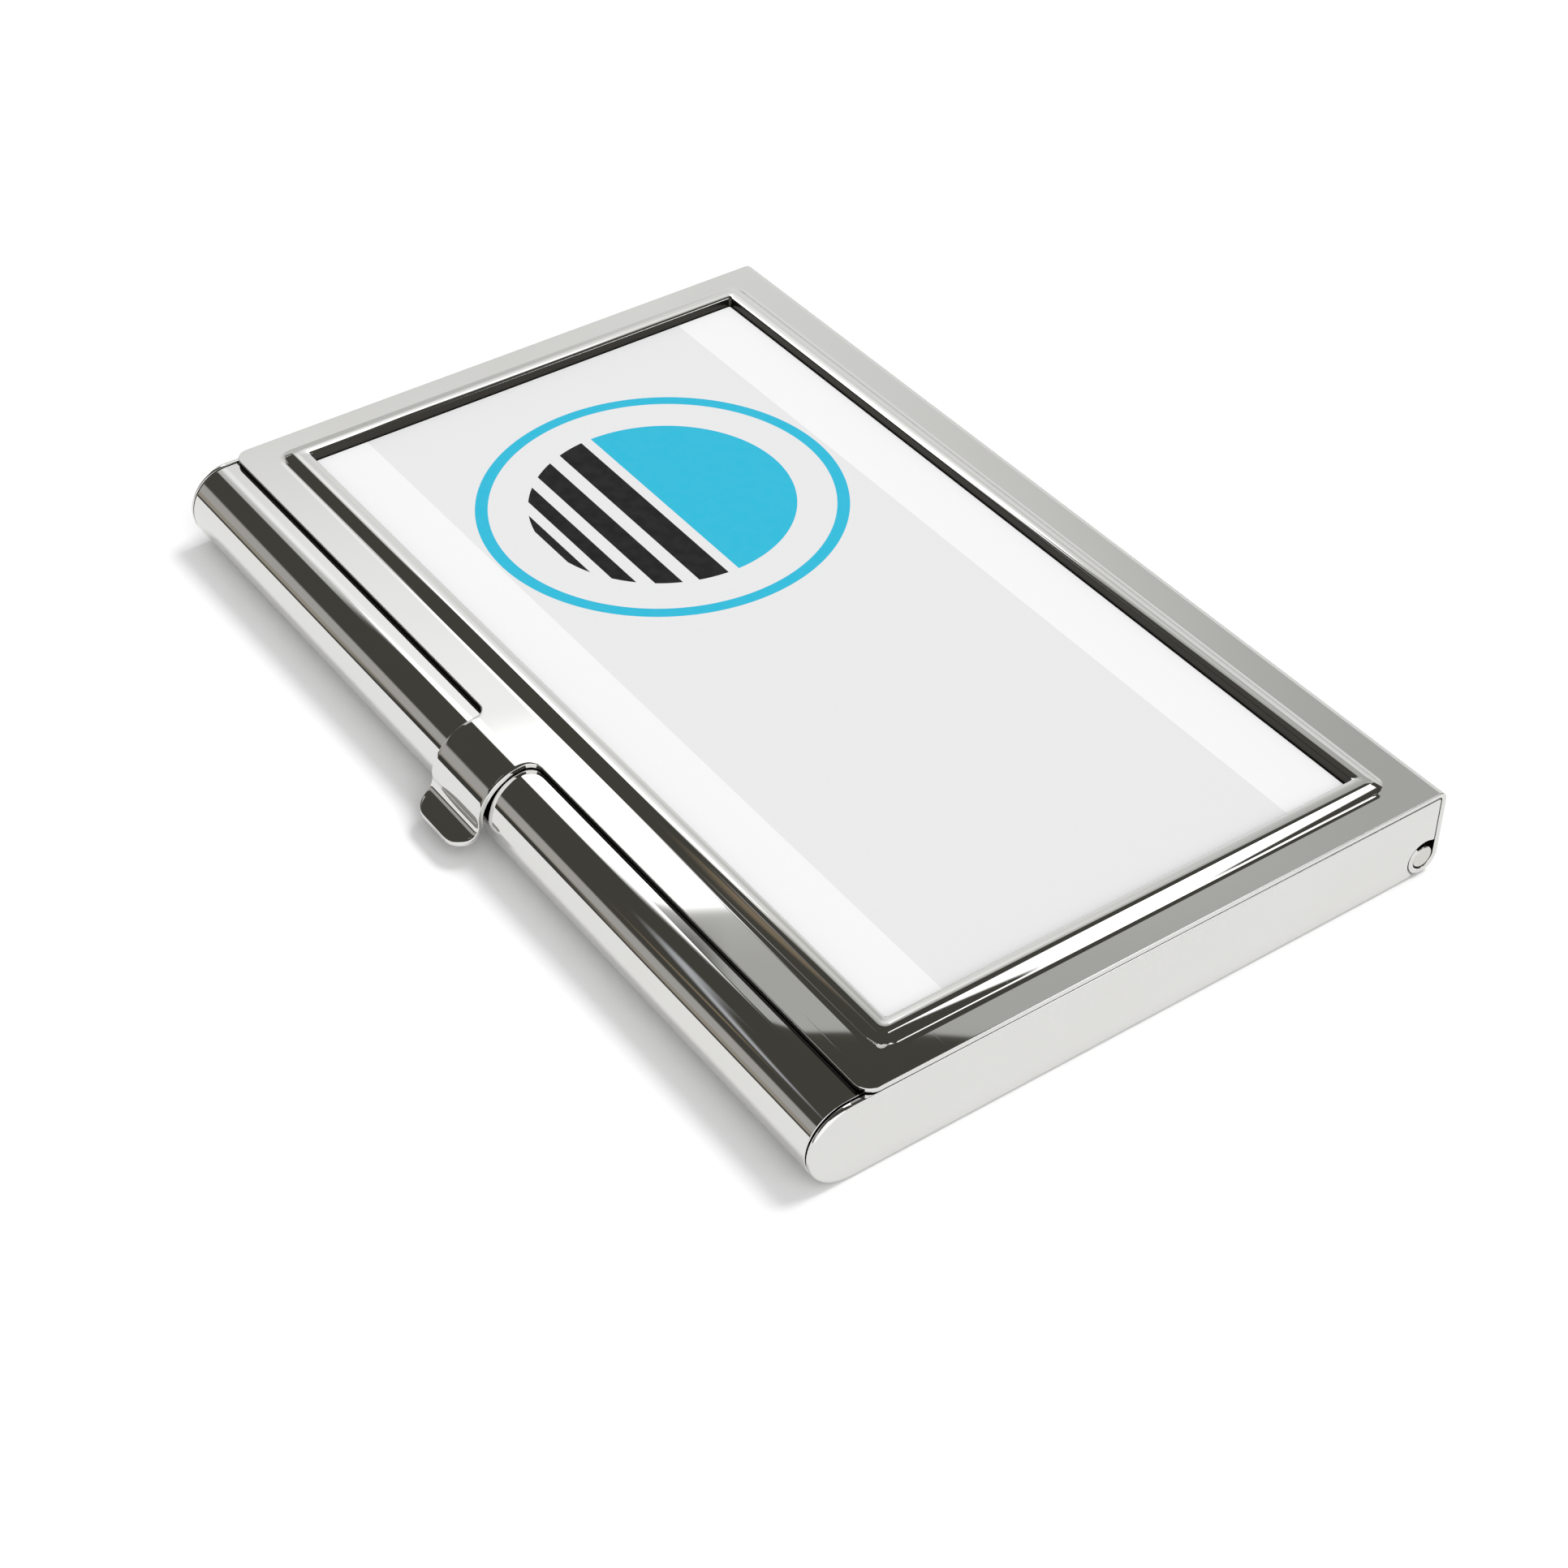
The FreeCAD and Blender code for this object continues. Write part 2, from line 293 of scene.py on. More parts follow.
def wall_outline():
    """Outline (y, z) of an end wall from the floor's rear end forwards, and the rim radius at each point."""
    bead = arc((nose_y, nose_r), nose_r, 270, 90, bead_step)
    bottom = [(notch_front_y, 0.0), (hinge_y - ramp_length, 0.0)]
    rear_corner = arc((wall_rear_y - wall_corner_r, tray_top_z - wall_corner_r), wall_corner_r, 90, 0,
                      wall_corner_step)
    notch_start = math.degrees(math.asin((notch_top_z - hinge_z) / notch_r))
    notch_end = 180 + math.degrees(math.acos((hinge_y - notch_front_y) / notch_r))
    notch = arc((hinge_y, hinge_z), notch_r, notch_start, notch_end, notch_step)
    outline = bottom + bead + rear_corner + [(wall_rear_y, notch_top_z)] + notch + [(notch_front_y, sheet)]
    radii = []
    for i in range(len(outline)):
        turn = (i - len(bottom)) * bead_step
        if turn < rim_high_start:
            part = min(1.0, max(0.0, turn / rim_low_end))
            low, high = floor_bend_r, nose_rim_r
        else:
            part = min(1.0, (turn - rim_high_start) / rim_high_length)
            low, high = nose_rim_r, wall_rim_r
        radii.append(low + (high - low) * part * part * (3 - 2 * part))
    return outline, radii


def inset_steps(outline, radii):
    """How far each outline point moves inwards where its rim has turned fully, as (y, z)."""
    steps = []
    count = len(outline)
    area = sum(a[0] * b[1] - b[0] * a[1] for a, b in zip(outline, outline[1:] + outline[:1]))
    turn = math.copysign(1, area)
    for i in range(count):
        normals = []
        for a, b in ((outline[i - 1], outline[i]), (outline[i], outline[(i + 1) % count])):
            dy, dz = b[0] - a[0], b[1] - a[1]
            size = math.hypot(dy, dz)
            normals.append((-dz / size * turn, dy / size * turn))
        (ay, az), (by, bz) = normals
        r_before, r_after = radii[i - 1] if i else wall_rim_r, radii[i]
        cross = ay * bz - az * by
        if abs(cross) < nearly_straight:
            mean = 1 / (1 + ay * by + az * bz)
            steps.append(((ay + by) * mean * r_after, (az + bz) * mean * r_after))
        else:
            steps.append(((r_before * bz - r_after * az) / cross, (r_after * ay - r_before * by) / cross))
    return steps


def end_wall(side, floor_rows):
    """Faces of one end wall. Its inner face joins the floor's inner line, given by floor_rows."""
    outline, radii = wall_outline()
    steps = inset_steps(outline, radii)
    inner_x = half_length - sheet
    rings = [[(side * inner_x, y, z) for y, z in outline]]
    turns = 6
    for k in range(turns + 1):
        a = math.pi / 2 * k / turns
        rings.append([(side * (half_length - r * (1 - math.sin(a))), y + dy * (1 - math.cos(a)),
                       z + dz * (1 - math.cos(a)))
                      for (y, z), r, (dy, dz) in zip(outline, radii, steps)])
    faces = loft(rings)[1:]
    slit_end = next(i for i, point in enumerate(outline)
                    if math.dist(point, floor_rows[0][0]) < 1e-3)
    inner_line = [(side * inner_x, *inner) for outer, inner in reversed(floor_rows)]
    faces.append(rings[0][slit_end:] + inner_line[1:])
    return faces


def tray_shell():
    slit_x = half_length - sheet - slit_width
    inner_x = half_length - sheet
    knuckle_x = [x for span in knuckle_spans(1, knuckle_gap / 2) for x in span]
    gap_x = [x for span in knuckle_spans(1, -knuckle_gap / 2) for x in span]
    inner_columns = sorted([-slit_x, slit_x] + knuckle_x + gap_x)
    all_columns = [-inner_x] + inner_columns + [inner_x]
    bead_spans = list(zip(inner_columns, inner_columns[1:]))
    floor_spans = list(zip(all_columns, all_columns[1:]))

    flange_y = nose_y + bead_flange
    top_pair = (tray_top_z, tray_top_z - sheet)
    flange = [tuple((y, z) for z in top_pair) for y in (flange_y, flange_y - flange_row)]
    bead_centre = (nose_y, nose_r)
    free_bead = paired_arc(bead_centre, nose_r, nose_r - sheet, 90, slit_low_angle, bead_step)
    joined_bead = paired_arc(bead_centre, nose_r, nose_r - sheet, slit_low_angle, 270, bead_step)
    ramp_y = hinge_y - ramp_length
    ramp_row = ((ramp_y, 0.0), (ramp_y, sheet))
    floor_end = ((notch_front_y, 0.0), (notch_front_y, sheet))
    cells = strips(flange + free_bead, bead_spans)
    cells += strips(joined_bead + [ramp_row], floor_spans)

    lid_spans = knuckle_spans(0, knuckle_gap / 2)
    lid_spans[0] = (-inner_x, lid_spans[0][1])
    lid_spans[-1] = (lid_spans[-1][0], inner_x)
    for x0, x1 in lid_spans:
        inside = sorted(x for x in all_columns if x0 - 1e-6 <= x <= x1 + 1e-6)
        cells += strips([ramp_row, floor_end], list(zip(inside, inside[1:])))

    rise = hinge_z - sheet / 2
    middle_r = curl_r - sheet / 2
    slope = math.degrees(math.atan2(rise, ramp_length) - math.asin(middle_r / math.hypot(rise, ramp_length)))
    curl = paired_arc((hinge_y, hinge_z), curl_r, curl_r - sheet, slope - 90, slope - 90 + curl_angle,
                      curl_step)
    cells += strips([ramp_row] + curl, knuckle_spans(1, knuckle_gap / 2))

    faces = sheet_faces(cells)
    floor_rows = joined_bead + [ramp_row, floor_end]
    # The end walls take the place of the rims at both ends of the floor.
    faces = [face for face in faces
             if not (round(abs(face[0][0]), 3) == round(inner_x, 3)
                     and len({round(point[0], 3) for point in face}) == 1)]
    for side in (-1, 1):
        faces += end_wall(side, floor_rows)
    return make_object("tray", faces)


# --- lid ----------------------------------------------------------------------------------------

def crest_ring(offset, z, r):
    return rounded_rectangle(crest_half_x + offset, crest_half_y + offset, 0.0, crest_centre_y, r, z)


def turned(bends):
    """Points (run, drop, tilt) down from a level surface round bends that follow each other."""
    points = [(0.0, 0.0, 0.0)]
    run, drop, start = 0.0, 0.0, 0.0
    for r, end, steps in bends:
        for i in range(1, steps + 1):
            tilt = start + (end - start) * i / steps
            across = math.sin(math.radians(tilt)) - math.sin(math.radians(start))
            down = math.cos(math.radians(start)) - math.cos(math.radians(tilt))
            points.append((run + r * across, drop + r * down, tilt))
        run, drop, start = points[-1][0], points[-1][1], end
    return points


def frame_section():
    """The frame's section from its foot over the crest to the recess floor.

    As (visible point, hidden point, corner radius).
    """
    section = []
    for run, rise, tilt in turned(foot_bends):
        hidden = (slope_out - run - sheet * math.sin(math.radians(tilt)),
                  lid_top_z + rise - sheet * math.cos(math.radians(tilt)))
        section.append(((slope_out - run, lid_top_z + rise), hidden, foot_corner_r))
    gentle_run = crest_bends[0][0] * math.sin(math.radians(crest_bends[0][1]))
    for run, drop, tilt in reversed(turned(crest_bends)[:-1]):
        hidden = (hollow_top_out * min(1.0, run / gentle_run), hollow_top_z)
        section.append(((run, crest_z - drop), hidden, crest_corner_r))
    inner = turned(inner_bends)
    for run, drop, tilt in inner[1:]:
        part = run / inner[-1][0]
        hidden = (-hollow_top_in * part, hollow_top_z)
        corner_r = crest_corner_r + (recess_corner_r - crest_corner_r) * part
        section.append(((-run, crest_z - drop), hidden, corner_r))
    section.append(((-wall_in, wall_foot_z), (sheet - wall_in, wall_foot_z - sheet / 4), recess_corner_r))
    for i in range(fillet_steps + 1):
        a = math.pi / 2 * i / fillet_steps
        visible = (-wall_in - fillet_r * (1 - math.cos(a)), recess_top_z + fillet_r * (1 - math.sin(a)))
        hidden = (sheet - wall_in - hidden_fillet_r * (1 - math.cos(a)),
                  recess_top_z - sheet + hidden_fillet_r * (1 - math.sin(a)))
        section.append((visible, hidden, recess_corner_r))
    return section


def frame_rings():
    """Pairs of rings (visible side, hidden side) round the frame."""
    return [(crest_ring(*visible, r), crest_ring(*hidden, r)) for visible, hidden, r in frame_section()]


def lid_outline():
    """The lid's flat outline, anticlockwise from the middle of the right front corner's arc, as (x, y)."""
    rear = rear_y - lid_bend_r
    columns = [x for span in knuckle_spans(1, -knuckle_gap / 2) for x in span]

    def front_corner(side, start, end):
        return [(side * (half_length - lid_corner_r) + x, lid_front_y + lid_corner_r + y)
                for x, y in arc((0, 0), lid_corner_r, start, end, lid_corner_step)]

    right = front_corner(1, -45, 0) + [(half_length, rear)]
    back = [(x, rear) for x in reversed(columns)]
    root = [(x, lid_front_y) for x in tab_columns(lid_front_y)]
    left = [(-half_length, rear)] + front_corner(-1, 180, 270)
    return right, back, left, root + front_corner(1, 270, 315)[:-1]


def flat_cells(foot_pair):
    """The lid's flat border in four patches that meet at its corners."""
    right, back, left, front = lid_outline()
    outline = right + back + left + front
    count = len(outline)
    rear_right = len(right) - 1
    rear_left = rear_right + len(back) + 1
    front_left = rear_left + 1 + (len(left) - 2) // 2
    outline_marks = (0, rear_right, rear_left, front_left, count)
    ring_count = len(foot_pair[0])
    ring_marks = (0, ring_count // 4, ring_count // 2, 3 * ring_count // 4, ring_count)
    cells = []
    for i in range(4):
        cell = []
        for j in range(outline_marks[i], outline_marks[i + 1] + 1):
            x, y = outline[j % count]
            cell.append(((x, y, lid_top_z), (x, y, lid_top_z - sheet)))
        for j in range(ring_marks[i + 1], ring_marks[i] - 1, -1):
            cell.append((foot_pair[0][j % ring_count], foot_pair[1][j % ring_count]))
        cells.append(cell)
    return cells


def frame_cells():
    pairs = frame_rings()
    cells = flat_cells(pairs[0])
    for (low_outer, low_inner), (high_outer, high_inner) in zip(pairs, pairs[1:]):
        count = len(low_outer)
        for i in range(count):
            k = (i + 1) % count
            cells.append([(low_outer[i], low_inner[i]), (low_outer[k], low_inner[k]),
                          (high_outer[k], high_inner[k]), (high_outer[i], high_inner[i])])
    cells.append(list(zip(*pairs[-1])))
    return cells


def rear_cells():
    """Bend, rear wall and curled knuckles of the lid."""
    inner_r = lid_bend_r - sheet
    bend = paired_arc((rear_y - lid_bend_r, lid_top_z - lid_bend_r), lid_bend_r, inner_r, 90, 0,
                      lid_bend_step)
    notch_row = ((rear_y, rear_notch_z), (rear_y - sheet, rear_notch_z))
    columns = [x for span in knuckle_spans(1, -knuckle_gap / 2) for x in span]
    columns = [-half_length] + columns + [half_length]
    cells = strips(bend + [notch_row], list(zip(columns, columns[1:])))
    curl = paired_arc((hinge_y, hinge_z), curl_r, curl_r - sheet, 0, -curl_angle, curl_step)
    return cells + strips([notch_row] + curl, knuckle_spans(0, knuckle_gap / 2))


def tab_width(y):
    """Half of the tab's width where it is at y."""
    root_y = lid_front_y - tab_root_r
    corner_y = tab_front_y + lip_corner_r
    if y > root_y:
        return tab_half_width + tab_root_r - math.sqrt(max(0.0, tab_root_r ** 2 - (y - root_y) ** 2))
    if y < corner_y:
        return tab_half_width - lip_corner_r + math.sqrt(max(0.0, lip_corner_r ** 2 - (corner_y - y) ** 2))
    return tab_half_width


def tab_columns(y):
    half_width = tab_width(y)
    return [-half_width, tab_border - half_width, half_width - tab_border, half_width]


def tab_rows():
    """Rows (outer (y, z), inner (y, z)) from the lid's front edge round the bead to the lip's tip."""
    rows = []
    root_steps = 18
    for i in range(root_steps):
        y = lid_front_y + (tab_straight_y - lid_front_y) * math.sin(math.pi / 2 * i / root_steps)
        rows.append(((y, lid_top_z), (y, lid_top_z - sheet)))
    centre = Vector((tab_straight_y, lid_top_z - tab_top_r))
    rows += paired_arc(centre, tab_top_r, tab_top_r - sheet, 90, 90 + tab_top_angle, tab_step)
    start = 90 + tab_top_angle
    spoke = Vector((math.cos(math.radians(start)), math.sin(math.radians(start))))
    centre = centre + spoke * (tab_top_r - tab_front_r)
    end = start + tab_front_angle
    rows += paired_arc(centre, tab_front_r, tab_front_r - sheet, start, end, tab_step)[1:]
    spoke = Vector((math.cos(math.radians(end)), math.sin(math.radians(end))))
    centre = centre + spoke * (tab_front_r + lip_bend_r)
    lip_start = end - 180
    rows += paired_arc(centre, lip_bend_r, lip_bend_r + sheet, lip_start, lip_start - lip_bend_angle,
                       tab_step * 2)[1:]
    droop = math.radians(lip_start - lip_bend_angle + 90 + 180)
    last_outer, last_inner = rows[-1]
    lip_rows = 12
    for i in range(1, lip_rows + 1):
        part = math.sin(math.pi / 2 * i / lip_rows)
        row = []
        for y, z in (last_outer, last_inner):
            new_y = y + (tab_front_y - y) * part
            row.append((new_y, z + (new_y - y) * math.tan(droop)))
        rows.append(tuple(row))
    return rows


def tab_cells():
    cells = []
    rows = tab_rows()
    for row, following in zip(rows, rows[1:]):
        for i in range(3):
            cells.append([tuple((tab_columns(y)[k], y, z) for y, z in pair)
                          for k, pair in ((i, row), (i + 1, row), (i + 1, following), (i, following))])
    return cells


def lid_shell():
    return make_object("lid", sheet_faces(frame_cells() + rear_cells() + tab_cells()))


# --- pin and insert -----------------------------------------------------------------------------

def hinge_pin():
    sides = 96
    rim_steps = 5
    rings = []
    reach = half_length - pin_end_recess
    rim = [(reach - pin_rim_r * (1 - math.sin(a)), pin_r - pin_rim_r * (1 - math.cos(a)))
           for a in (math.pi / 2 * i / rim_steps for i in range(rim_steps + 1))]
    section = [(-x, r) for x, r in reversed(rim)] + rim
    for x, r in section:
        rings.append([(x, hinge_y + r * math.cos(a), hinge_z + r * math.sin(a))
                      for a in (2 * math.pi * i / sides for i in range(sides))])
    return make_object("pin", loft(rings), bevel=0)


def insert_plate():
    centre = (plate_low + plate_high) / 2
    half = (plate_high - plate_low) / 2
    rim_steps = 4
    turns = [math.pi / 2 * i / rim_steps for i in range(rim_steps + 1)]
    section = [(plate_low.z + plate_rim_r * (1 - math.cos(a)), plate_rim_r * (1 - math.sin(a)))
               for a in turns]
    section += [(plate_high.z - plate_rim_r * (1 - math.cos(a)), plate_rim_r * (1 - math.sin(a)))
                for a in reversed(turns)]
    rings = [rounded_rectangle(half.x - inset, half.y - inset, centre.x, centre.y, plate_corner_r - inset, z)
             for z, inset in section]
    return make_object("printed_plate", loft(rings), bevel=0, sharp_from=60)


# --- materials ----------------------------------------------------------------------------------

class Graph:
    """Short forms for adding and joining shader nodes."""

    def __init__(self, tree):
        self.tree = tree
        tree.nodes.clear()

    def add(self, kind, inputs=(), **settings):
        node = self.tree.nodes.new(kind)
        for name, value in settings.items():
            setattr(node, name, value)
        for name, value in dict(inputs).items():
            if isinstance(value, bpy.types.NodeSocket):
                self.tree.links.new(value, node.inputs[name])
            else:
                node.inputs[name].default_value = value
        return node

    def math(self, operation, a, b=0.0):
        return self.add("ShaderNodeMath", {0: a, 1: b}, operation=operation).outputs[0]

    def ramp(self, value, low, high, out_low=0.0, out_high=1.0, kind="SMOOTHSTEP"):
        """value from low to high becomes out_low to out_high, and stays there beyond."""
        return self.add("ShaderNodeMapRange", {"Value": value, "From Min": low, "From Max": high,
                                               "To Min": out_low, "To Max": out_high},
                        interpolation_type=kind).outputs["Result"]

    def mix_colour(self, factor, a, b):
        node = self.add("ShaderNodeMix", {"Factor": factor}, data_type="RGBA")
        for socket, value in (("A_Color", a), ("B_Color", b)):
            target = next(entry for entry in node.inputs if entry.identifier == socket)
            if isinstance(value, bpy.types.NodeSocket):
                self.tree.links.new(value, target)
            else:
                target.default_value = value
        return next(entry for entry in node.outputs if entry.identifier == "Result_Color")

    def noise(self, place, scale, detail=3.0, stretch=(1, 1, 1), turn=0.0):
        moved = self.add("ShaderNodeMapping", {"Vector": place, "Scale": stretch, "Rotation": (0, 0, turn)})
        return self.add("ShaderNodeTexNoise", {"Vector": moved.outputs[0], "Scale": scale,
                                               "Detail": detail}).outputs["Fac"]


def new_material(name):
    material = bpy.data.materials.new(name)
    material.use_nodes = True
    return material, Graph(material.node_tree)


def scratches(graph, place, turn, density):
    """Thin broken lines along one direction, 1 on a line and 0 between them."""
    lines = graph.noise(place, density, 2.0, (0.02, 1, 1), turn)
    return graph.ramp(lines, 0.70, 0.74)


def painted_shade(graph, place):
    """1 where shade is painted on the steel: the recess wall and the gap under the lid's front edge."""
    axes = graph.add("ShaderNodeSeparateXYZ", {0: place}).outputs
    x, y, z = (graph.math("DIVIDE", axis, MM) for axis in axes)
    overlap = 0.03              # of the dark wall with the last bend above it
    below_recess = 0.1
    gap_middle, gap_half = 0.17, 0.21       # along Y, the middle counted from the lid's front edge
    below_tray_top = 0.25
    end_margin = 0.02           # from the end walls
    reach = turned(inner_bends)[-1][0] - overlap
    across = graph.math("SUBTRACT", graph.math("ABSOLUTE", x), crest_half_x - reach)
    along = graph.math("ABSOLUTE", graph.math("SUBTRACT", y, crest_centre_y))
    along = graph.math("SUBTRACT", along, crest_half_y - reach)
    recess = graph.math("LESS_THAN", graph.math("MAXIMUM", across, along), 0.0)
    recess = graph.math("MULTIPLY", recess, graph.math("GREATER_THAN", z, recess_top_z - below_recess))
    from_middle = graph.math("ABSOLUTE", graph.math("SUBTRACT", y, lid_front_y + gap_middle))
    gap = graph.math("LESS_THAN", from_middle, gap_half)
    low, high = tray_top_z - below_tray_top, lid_top_z - edge_r
    level = graph.math("ABSOLUTE", graph.math("SUBTRACT", z, (low + high) / 2))
    gap = graph.math("MULTIPLY", gap, graph.math("LESS_THAN", level, (high - low) / 2))
    between = graph.math("LESS_THAN", graph.math("ABSOLUTE", x), half_length - sheet - end_margin)
    gap = graph.math("MULTIPLY", gap, between)
    return graph.math("MAXIMUM", recess, gap)


def steel(name, colour, stain, shine, haze, scratch_depth):
    """Bare steel: roughness shine to haze in soft patches, fine crossing scratches, a warmer stain, and
    painted shade on the recess wall and in the gap under the lid's front edge.
    """
    material, graph = new_material(name)
    place = graph.add("ShaderNodeTexCoord").outputs["Object"]
    patches = graph.ramp(graph.noise(place, 45, 4.0), 0.35, 0.75)
    lines = graph.math("MAXIMUM", scratches(graph, place, 0.35, 2600), scratches(graph, place, -1.1, 2100))
    lines = graph.math("MAXIMUM", lines, scratches(graph, place, 1.9, 3000))
    soft = graph.ramp(patches, 0.0, 1.0, shine, haze, "LINEAR")
    rough = graph.math("ADD", soft, graph.math("MULTIPLY", lines, haze))
    wave = graph.noise(place, 260, 2.0)
    relief = graph.math("SUBTRACT", wave, lines)
    bump = graph.add("ShaderNodeBump", {"Strength": 0.03, "Distance": scratch_depth * MM,
                                        "Height": relief})
    tint = graph.mix_colour(patches, colour, stain)
    # Painted shade: the recess wall and the gap under the lid's front edge are tinted near black, and made
    # rougher there.
    dark = painted_shade(graph, place)
    tint = graph.mix_colour(dark, tint, (0.052, 0.050, 0.044, 1))
    rough = graph.math("ADD", rough, graph.math("MULTIPLY", dark, 0.2))
    shader = graph.add("ShaderNodeBsdfPrincipled", {"Base Color": tint, "Metallic": 1.0,
                                                    "Roughness": rough, "Normal": bump.outputs[0]})
    out = graph.add("ShaderNodeOutputMaterial")
    graph.tree.links.new(shader.outputs[0], out.inputs[0])
    return material


def print_colours(graph, x, y):
    """Colour of the printed face: a grey band between pale margins, and a plain sun over bars in a ring."""
    margin = (0.785, 0.785, 0.788, 1)
    band = (0.694, 0.694, 0.697, 1)
    cyan = (0.026, 0.425, 0.600, 1)
    black = (0.0075, 0.0075, 0.008, 1)
    band_low, band_high = -13.4, 19.6
    centre_x, centre_y = -19.35, 3.0
    ring_r, ring_half_width = 15.6, 0.55
    sun_r = 11.6
    bars = ((-1.0, -3.6), (-4.9, -6.9), (-8.1, -9.5), (-10.5, -11.3))

    def inside(value, low, high):
        return graph.math("MULTIPLY", graph.math("GREATER_THAN", value, low),
                          graph.math("LESS_THAN", value, high))

    dx = graph.math("SUBTRACT", x, centre_x)
    dy = graph.math("SUBTRACT", y, centre_y)
    squared = graph.math("ADD", graph.math("MULTIPLY", dx, dx), graph.math("MULTIPLY", dy, dy))
    reach = graph.math("SQRT", squared)
    in_sun = graph.math("LESS_THAN", reach, sun_r)
    ring = inside(reach, ring_r - ring_half_width, ring_r + ring_half_width)
    sun = graph.math("MULTIPLY", in_sun, graph.math("GREATER_THAN", dy, 0.0))
    ink = 0.0
    for high, low in bars:
        ink = graph.math("ADD", inside(dy, low, high), ink)
    ink = graph.math("MULTIPLY", ink, in_sun)
    colour = graph.mix_colour(inside(y, band_low, band_high), margin, band)
    colour = graph.mix_colour(graph.math("MAXIMUM", ring, sun), colour, cyan)
    return graph.mix_colour(ink, colour, black)


def printed_plastic():
    material, graph = new_material("printed_gloss_plate")
    place = graph.add("ShaderNodeTexCoord").outputs["Object"]
    axes = graph.add("ShaderNodeSeparateXYZ", {0: place})
    x = graph.math("DIVIDE", axes.outputs[0], MM)
    y = graph.math("DIVIDE", axes.outputs[1], MM)
    colour = print_colours(graph, x, y)
    mottle = graph.ramp(graph.noise(place, 900, 3.0), 0.3, 0.7, 0.0, 0.012)
    colour = graph.mix_colour(mottle, colour, (0.60, 0.60, 0.58, 1))
    peel = graph.noise(place, 1400, 2.0)
    rough = graph.ramp(graph.noise(place, 60, 3.0), 0.1, 0.9, 0.38, 0.50, "LINEAR")
    bump = graph.add("ShaderNodeBump", {"Strength": 0.08, "Distance": 0.01 * MM, "Height": peel})
    shader = graph.add("ShaderNodeBsdfPrincipled", {"Base Color": colour, "Roughness": rough,
                                                    "Specular IOR Level": 0.09, "Normal": bump.outputs[0]})
    out = graph.add("ShaderNodeOutputMaterial")
    graph.tree.links.new(shader.outputs[0], out.inputs[0])
    return material


def tape():
    """Grey acrylic bonding tape with a faint fibre pattern."""
    material, graph = new_material("bonding_tape")
    place = graph.add("ShaderNodeTexCoord").outputs["Object"]
    fibres = graph.noise(place, 1200, 4.0, (0.15, 1, 1), 0.4)
    colour = graph.mix_colour(fibres, (0.16, 0.16, 0.155, 1), (0.26, 0.26, 0.25, 1))
    rough = graph.ramp(fibres, 0.3, 0.7, 0.55, 0.8)
    bump = graph.add("ShaderNodeBump", {"Strength": 0.3, "Distance": 0.02 * MM, "Height": fibres})
    shader = graph.add("ShaderNodeBsdfPrincipled", {"Base Color": colour, "Roughness": rough,
                                                    "Normal": bump.outputs[0]})
    out = graph.add("ShaderNodeOutputMaterial")
    graph.tree.links.new(shader.outputs[0], out.inputs[0])
    return material


def paint(piece, material):
    if not piece.data.materials:
        piece.data.materials.append(material)
    for entry in piece.material_slots:
        entry.material = material


# --- studio -------------------------------------------------------------------------------------

# What the steel mirrors: soft panels and dark gaps round the table, each over the ones before it.
# Degrees: azimuth from +X as (low, softness), (high, softness), elevation the same way, and the turn of
# the panel, then its colour.
ROOM_COLOUR = (0.066, 0.064, 0.054, 1)
PANELS = (
    ("ground", ((-5, 1), (365, 1)), ((-95, 1), (-30, 30)), 0, (0.80, 0.80, 0.79, 1)),
    ("far_wall", ((98, 4), (181.0, 2.0)), ((3, 2), (43.6, 0.8)), 0, (0.60, 0.60, 0.585, 1)),
    ("far_wall_right", ((98, 4), (147.0, 0.8)), ((3, 2), (45.58, 0.03)), 0, (0.485, 0.486, 0.470, 1)),
    ("far_wall_low", ((100, 5), (152.0, 5)), ((3, 2), (32.0, 4)), 0, (0.88, 0.88, 0.87, 1)),
    ("far_wall_lit", ((139, 9), (170.0, 6)), ((34.3, 8), (42.0, 2.5)), 0, (1.20, 1.20, 1.19, 1)),
    ("window", ((149.5, 0.8), (166.5, 2.5)), ((41.2, 1.0), (47.4, 2.0)), 8, (2.6, 2.6, 2.6, 1)),
    ("window_foot", ((144.5, 1.0), (151.0, 1.0)), ((41.0, 0.6), (43.2, 0.2)), 0, (2.6, 2.6, 2.6, 1)),
    ("strip_light", ((201, 5), (224.5, 2.5)), ((43.9, 0.9), (45.5, 0.9)), -24.8, (0.52, 0.53, 0.56, 1)),
    ("lamp", ((222.4, 0.8), (225.0, 0.8)), ((32.5, 1.5), (36.5, 1.5)), -15, (0.24, 0.19, 0.13, 1)),
    ("near_wall", ((190, 6), (268, 4)), ((8, 2), (23.6, 2.0)), 0, (0.44, 0.430, 0.410, 1)),
    ("skirting", ((190, 6), (268, 4)), ((3.5, 1.5), (10.0, 1.0)), 0, (0.36, 0.33, 0.28, 1)),
    ("doorway", ((224.6, 1.5), (231.0, 1.5)), ((1.0, 1.0), (7.5, 1.5)), 0, (0.05, 0.05, 0.045, 1)),
    ("ceiling", ((51, 2), (105, 4)), ((50.5, 0.8), (60.8, 1.5)), 0, (2.2, 2.2, 2.2, 1)),
    ("side_light", ((38.9, 0.5), (54, 1)), ((38.7, 0.3), (52, 1)), 0, (2.2, 2.2, 2.2, 1)),
    ("right_panel", ((270, 3), (364, 1)), ((-3, 2), (56, 3)), 0, (1.3, 1.3, 1.3, 1)),
    ("right_edge", ((-3, 1), (34, 2)), ((-3, 2), (30, 3)), 0, (1.3, 1.3, 1.3, 1)),
)
DOME_COLOUR = (0.50, 0.50, 0.50, 1)
BACKDROP_COLOUR = (1.0, 1.0, 1.0, 1)


